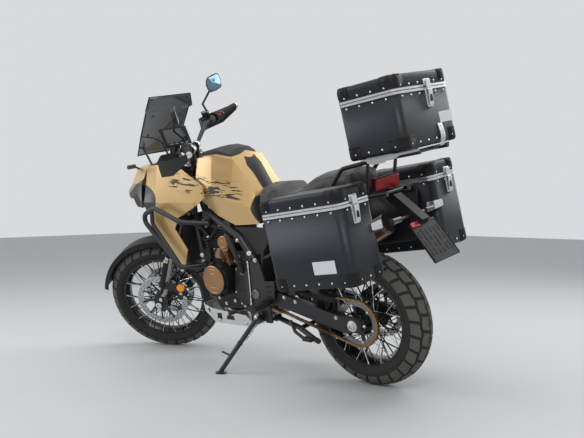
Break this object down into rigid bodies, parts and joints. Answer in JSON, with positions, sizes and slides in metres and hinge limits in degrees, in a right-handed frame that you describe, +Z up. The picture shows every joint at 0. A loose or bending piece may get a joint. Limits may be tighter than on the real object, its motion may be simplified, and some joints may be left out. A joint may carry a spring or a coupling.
{
  "type": "adventure motorcycle",
  "caption": "Adventure motorcycle parked on its side stand, with wire wheels, crash bars, chain drive and hinged metal luggage cases.",
  "frame": {"origin": "centre of the bounding box, on the floor that the machine stands on", "axes": "+X forward along the machine, +Y to the rider's left, +Z up; the machine leans to +Y on its side stand"},
  "size_m": [2.22, 0.964, 1.5683],
  "materials": {
    "body_paint": "sand coloured metallic paint",
    "frame_paint": "black powder coat",
    "black_plastic": "moulded black plastic",
    "grey_plastic": "charcoal moulded plastic",
    "clear_lamp": "clear lamp lens",
    "smoke_screen": "smoked polycarbonate",
    "screen_face": "dark display glass",
    "engine_cast": "black coated cast aluminium",
    "bronze_cast": "bronze anodised covers",
    "radiator_core": "black radiator core",
    "steel_pipe": "brushed stainless steel",
    "silencer_skin": "satin steel can",
    "silver_plate": "satin aluminium",
    "case_sheet": "black coated aluminium sheet",
    "seat_cover": "charcoal seat cover",
    "tyre": "tyre rubber",
    "rim_black": "gloss black rim and bright spokes",
    "disc_steel": "drilled stainless disc",
    "chain_steel": "gold toned roller chain",
    "sprocket_steel": "steel sprocket",
    "lamp_red": "red lamp lens",
    "lamp_amber": "smoked turn lamp lens",
    "fork_black": "black anodised fork, bright inner tubes",
    "rubber_black": "rubber"
  },
  "bodies": {
    "front_wheel": {"front_wheel": "rim_black", "front_tyre": "tyre", "front_discs": "disc_steel"},
    "rear_wheel": {"rear_wheel": "rim_black", "rear_tyre": "tyre", "rear_disc": "disc_steel", "rear_sprocket": "sprocket_steel"},
    "chassis": {"chain": "chain_steel", "main_frame": "frame_paint", "windscreen": "smoke_screen", "subframe": "frame_paint", "engine_block": "engine_cast", "engine_covers": "bronze_cast", "radiator": "radiator_core", "exhaust_pipe": "steel_pipe", "silencer": "silencer_skin", "bash_plate": "silver_plate", "engine_guard": "frame_paint", "fuel_tank": "body_paint", "tank_cover": "grey_plastic", "side_shrouds": "body_paint", "nose_fairing": "body_paint", "headlamp": "clear_lamp", "instrument_panel": "screen_face", "rider_seat": "seat_cover", "passenger_seat": "seat_cover", "side_covers": "grey_plastic", "tail_section": "black_plastic", "tail_lamp": "lamp_red", "plate_holder": "black_plastic", "indicators": "lamp_amber", "luggage_rack": "frame_paint", "rack_plate": "silver_plate", "pannier_racks": "frame_paint", "left_case": "case_sheet", "right_case": "case_sheet", "top_case": "case_sheet", "swingarm": "frame_paint", "rear_shock": "frame_paint", "rear_caliper": "frame_paint", "footpegs": "rubber_black"},
    "steering": {"fork": "fork_black", "handlebar": "black_plastic", "mirrors": "black_plastic", "handguards": "grey_plastic", "front_mudguard": "black_plastic", "front_calipers": "frame_paint"},
    "side_stand": {"side_stand": "frame_paint"},
    "centre_stand": {"centre_stand": "frame_paint"},
    "left_lid": {"left_lid": "case_sheet"},
    "right_lid": {"right_lid": "case_sheet"},
    "top_lid": {"top_lid": "case_sheet"}
  },
  "joints": [
    {"name": "steering_turn", "type": "hinge", "parent": "chassis", "child": "steering", "pos_m": [0.43128, 0.03663, 0.96205], "axis": [-0.4328, 0.1643, 0.8864], "range_deg": [-62, 0]},
    {"name": "front_wheel_spin", "type": "hinge", "parent": "steering", "child": "front_wheel", "pos_m": [0.78951, -0.06158, 0.30904], "axis": [-0.4643, 0.8022, -0.3754], "continuous": true},
    {"name": "rear_wheel_spin", "type": "hinge", "parent": "chassis", "child": "rear_wheel", "pos_m": [-0.6649, -0.08295, 0.31686], "axis": [0, 0.9833, -0.1822], "continuous": true},
    {"name": "side_stand_fold", "type": "hinge", "parent": "chassis", "child": "side_stand", "pos_m": [-0.10491, 0.09358, 0.28161], "axis": [0.131, 0.8877, 0.4414], "range_deg": [0, 96.9]},
    {"name": "centre_stand_fold", "type": "hinge", "parent": "chassis", "child": "centre_stand", "pos_m": [-0.16004, -0.08735, 0.29312], "axis": [0, 0.9833, -0.1822], "range_deg": [-88, 0], "stiffness_Nm_per_rad": 5, "springref_deg": 91.67},
    {"name": "left_lid_hinge", "type": "hinge", "parent": "chassis", "child": "left_lid", "pos_m": [-0.46843, 0.3546, 0.80097], "axis": [0, 0.9833, -0.1822], "range_deg": [0, 95]},
    {"name": "right_lid_hinge", "type": "hinge", "parent": "chassis", "child": "right_lid", "pos_m": [-0.46843, -0.31795, 0.92562], "axis": [0, 0.9833, -0.1822], "range_deg": [0, 95]},
    {"name": "top_lid_hinge", "type": "hinge", "parent": "chassis", "child": "top_lid", "pos_m": [-0.75924, 0.09693, 1.28741], "axis": [0, 0.9833, -0.1822], "range_deg": [0, 95]}
  ]
}
